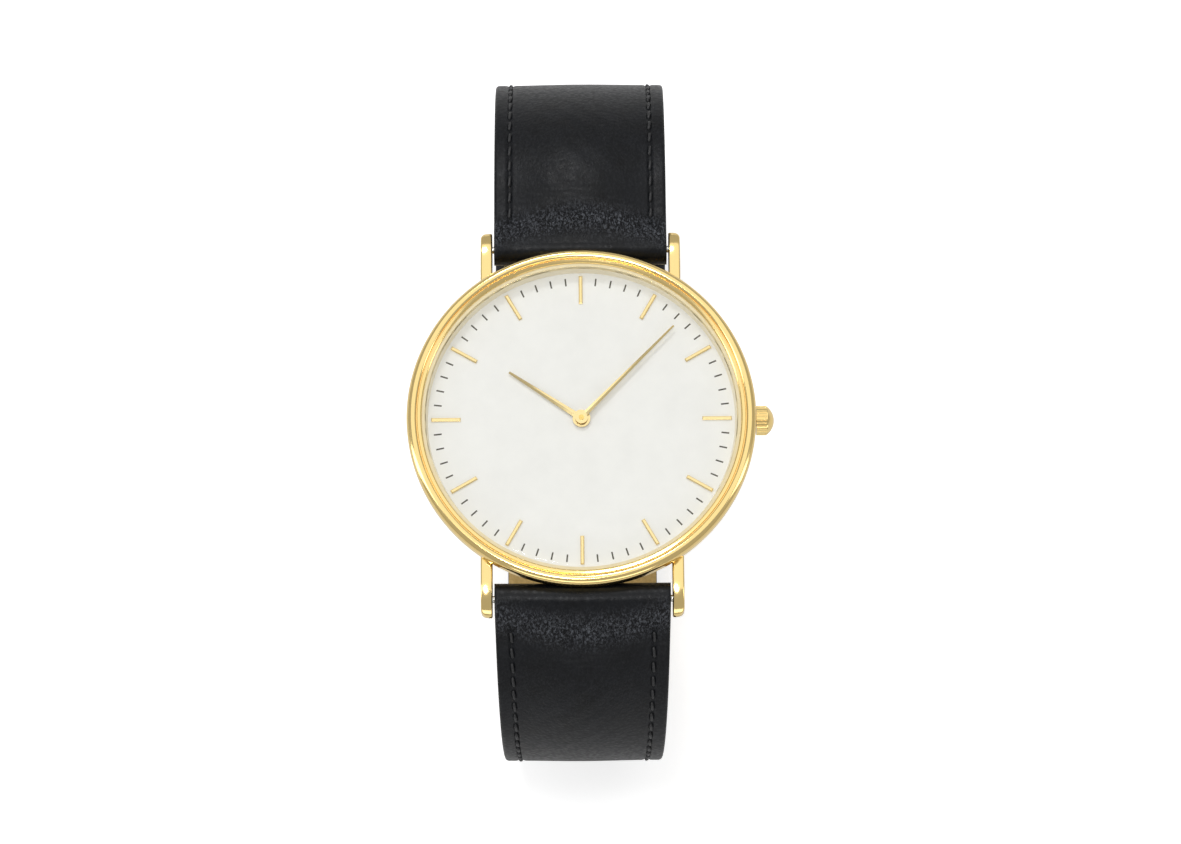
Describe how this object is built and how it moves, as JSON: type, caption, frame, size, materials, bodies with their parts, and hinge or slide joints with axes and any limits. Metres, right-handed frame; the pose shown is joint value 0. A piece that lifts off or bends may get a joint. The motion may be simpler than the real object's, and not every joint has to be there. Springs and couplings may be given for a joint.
{
  "type": "wristwatch",
  "caption": "Slim round two-hand dress watch with a gold-tone case, off-white dial and padded black leather strap closed on its pin buckle.",
  "frame": {"origin": "centre of the case back's flat outer face", "axes": "+Z points out of the dial, +Y towards 12 o'clock, +X towards the crown"},
  "size_m": [0.0421, 0.0824, 0.0525],
  "materials": {
    "gold_case": "polished pale gold plating",
    "gold_small": "polished pale gold markers and hands",
    "steel": "turned and polished stainless steel",
    "brass": "turned brass",
    "dial_lacquer": "satin off-white dial lacquer",
    "crystal": "flat clear mineral glass",
    "seal": "black nitrile rubber",
    "crystal_seal": "clear-white nylon",
    "ring_plastic": "moulded white acetal",
    "board": "solder-masked circuit board",
    "chip": "black moulded epoxy",
    "copper": "enamelled copper wire",
    "magnet": "sintered magnet",
    "insulator": "polyimide film",
    "strap_leather": "black grained calf leather",
    "lining": "tan suede-finished lining leather",
    "thread": "waxed black polyester thread"
  },
  "bodies": {
    "root": {"case_body": "gold_case", "bezel": "gold_case", "crystal": "crystal", "crystal_gasket": "crystal_seal", "flange_ring": "gold_small", "dial": "dial_lacquer", "hour_markers": "gold_small", "case_back": "steel", "case_back_gasket": "seal", "crown_tube": "steel", "movement_ring": "ring_plastic", "main_plate": "brass", "train_bridge": "brass", "movement_screws": "steel", "stator": "steel", "coil_core": "steel", "coil_winding": "copper", "circuit_board": "board", "drive_chip": "chip", "quartz_can": "steel", "battery": "steel", "battery_insulator": "insulator", "battery_clamp": "steel", "upper_bar_tube": "steel", "lower_bar_tube": "steel", "buckle_bar_tube": "steel", "upper_bar_spring": "steel", "lower_bar_spring": "steel", "buckle_bar_spring": "steel", "short_strap_leather": "strap_leather", "short_strap_lining": "lining", "long_strap_leather": "strap_leather", "long_strap_lining": "lining", "short_strap_stitching": "thread", "long_strap_stitching": "thread", "fixed_keeper": "strap_leather"},
    "minute_hand": {"minute_hand": "gold_small", "cannon_pinion": "brass"},
    "hour_hand": {"hour_hand": "gold_small", "hour_wheel": "brass"},
    "minute_wheel": {"minute_wheel": "brass"},
    "setting_wheel": {"setting_wheel": "brass"},
    "intermediate_wheel": {"intermediate_wheel": "brass"},
    "rotor": {"rotor_pinion": "steel", "rotor_magnet": "magnet"},
    "setting_lever": {"setting_lever": "steel"},
    "crown": {"crown": "gold_case", "stem": "steel", "crown_gasket": "seal"},
    "yoke": {"yoke": "steel"},
    "clutch": {"clutch_pinion": "steel"},
    "buckle": {"buckle_frame": "gold_case"},
    "tongue": {"buckle_tongue": "gold_case"},
    "free_keeper": {"free_keeper": "strap_leather"},
    "upper_bar_pin_right": {"upper_bar_pin_right": "steel"},
    "upper_bar_pin_left": {"upper_bar_pin_left": "steel"},
    "lower_bar_pin_right": {"lower_bar_pin_right": "steel"},
    "lower_bar_pin_left": {"lower_bar_pin_left": "steel"},
    "buckle_bar_pin_right": {"buckle_bar_pin_right": "steel"},
    "buckle_bar_pin_left": {"buckle_bar_pin_left": "steel"}
  },
  "joints": [
    {"name": "minute_hand_turn", "type": "hinge", "parent": "root", "child": "minute_hand", "pos_m": [0, 0, 0], "axis": [0, 0, -1], "continuous": true},
    {"name": "hour_hand_turn", "type": "hinge", "parent": "root", "child": "hour_hand", "pos_m": [0, 0, 0], "axis": [0, 0, -1], "continuous": true},
    {"name": "minute_wheel_turn", "type": "hinge", "parent": "root", "child": "minute_wheel", "pos_m": [0.00197, -0.00138, 0], "axis": [0, 0, -1], "continuous": true},
    {"name": "setting_wheel_turn", "type": "hinge", "parent": "root", "child": "setting_wheel", "pos_m": [0.0044, 0, 0], "axis": [0, 0, -1], "continuous": true},
    {"name": "intermediate_wheel_turn", "type": "hinge", "parent": "root", "child": "intermediate_wheel", "pos_m": [-0.00053, 0.00303, 0], "axis": [0, 0, -1], "continuous": true},
    {"name": "rotor_turn", "type": "hinge", "parent": "root", "child": "rotor", "pos_m": [-0.00296, 0.00443, 0], "axis": [0, 0, -1], "continuous": true},
    {"name": "crown_pull", "type": "slide", "parent": "root", "child": "setting_lever", "axis": [1, 0, 0], "range_m": [0, 0.0009]},
    {"name": "crown_turn", "type": "hinge", "parent": "setting_lever", "child": "crown", "pos_m": [0, 0, 0.0032], "axis": [1, 0, 0], "continuous": true},
    {"name": "clutch_shift", "type": "slide", "parent": "root", "child": "yoke", "axis": [-1, 0, 0], "range_m": [0, 0.00046]},
    {"name": "clutch_turn", "type": "hinge", "parent": "yoke", "child": "clutch", "pos_m": [0, 0, 0.0032], "axis": [1, 0, 0], "continuous": true},
    {"name": "buckle_swing", "type": "hinge", "parent": "root", "child": "buckle", "pos_m": [0, 0.02298, -0.03857], "axis": [1, 0, 0], "range_deg": [0, 10]},
    {"name": "tongue_swing", "type": "hinge", "parent": "buckle", "child": "tongue", "pos_m": [0, 0.02298, -0.03857], "axis": [1, 0, 0], "range_deg": [0, 6]},
    {"name": "free_keeper_slide", "type": "hinge", "parent": "root", "child": "free_keeper", "pos_m": [0, 0.02706, -0.01843], "axis": [1, 0, 0], "range_deg": [-6, 18]},
    {"name": "upper_bar_pin_right_press", "type": "slide", "parent": "root", "child": "upper_bar_pin_right", "axis": [-1, 0, 0], "range_m": [0, 0.00085], "stiffness_N_per_m": 800, "springref_m": -0.0005, "deforming": ["upper_bar_spring"]},
    {"name": "upper_bar_pin_left_press", "type": "slide", "parent": "root", "child": "upper_bar_pin_left", "axis": [1, 0, 0], "range_m": [0, 0.00085], "stiffness_N_per_m": 800, "springref_m": -0.0005, "deforming": ["upper_bar_spring"]},
    {"name": "lower_bar_pin_right_press", "type": "slide", "parent": "root", "child": "lower_bar_pin_right", "axis": [-1, 0, 0], "range_m": [0, 0.00085], "stiffness_N_per_m": 800, "springref_m": -0.0005, "deforming": ["lower_bar_spring"]},
    {"name": "lower_bar_pin_left_press", "type": "slide", "parent": "root", "child": "lower_bar_pin_left", "axis": [1, 0, 0], "range_m": [0, 0.00085], "stiffness_N_per_m": 800, "springref_m": -0.0005, "deforming": ["lower_bar_spring"]},
    {"name": "buckle_bar_pin_right_press", "type": "slide", "parent": "root", "child": "buckle_bar_pin_right", "axis": [-1, 0, 0], "range_m": [0, 0.00085], "stiffness_N_per_m": 800, "springref_m": -0.0005, "deforming": ["buckle_bar_spring"]},
    {"name": "buckle_bar_pin_left_press", "type": "slide", "parent": "root", "child": "buckle_bar_pin_left", "axis": [1, 0, 0], "range_m": [0, 0.00085], "stiffness_N_per_m": 800, "springref_m": -0.0005, "deforming": ["buckle_bar_spring"]}
  ],
  "couplings": [
    {"joint": "hour_hand_turn", "follows": "minute_hand_turn", "ratio": 0.083333},
    {"joint": "minute_wheel_turn", "follows": "minute_hand_turn", "ratio": -0.33333},
    {"joint": "setting_wheel_turn", "follows": "minute_hand_turn", "ratio": 0.6},
    {"joint": "intermediate_wheel_turn", "follows": "minute_hand_turn", "ratio": -10},
    {"joint": "rotor_turn", "follows": "minute_hand_turn", "ratio": 90},
    {"joint": "clutch_shift", "follows": "crown_pull", "ratio": 0.5},
    {"joint": "clutch_turn", "follows": "crown_turn", "ratio": 1}
  ]
}
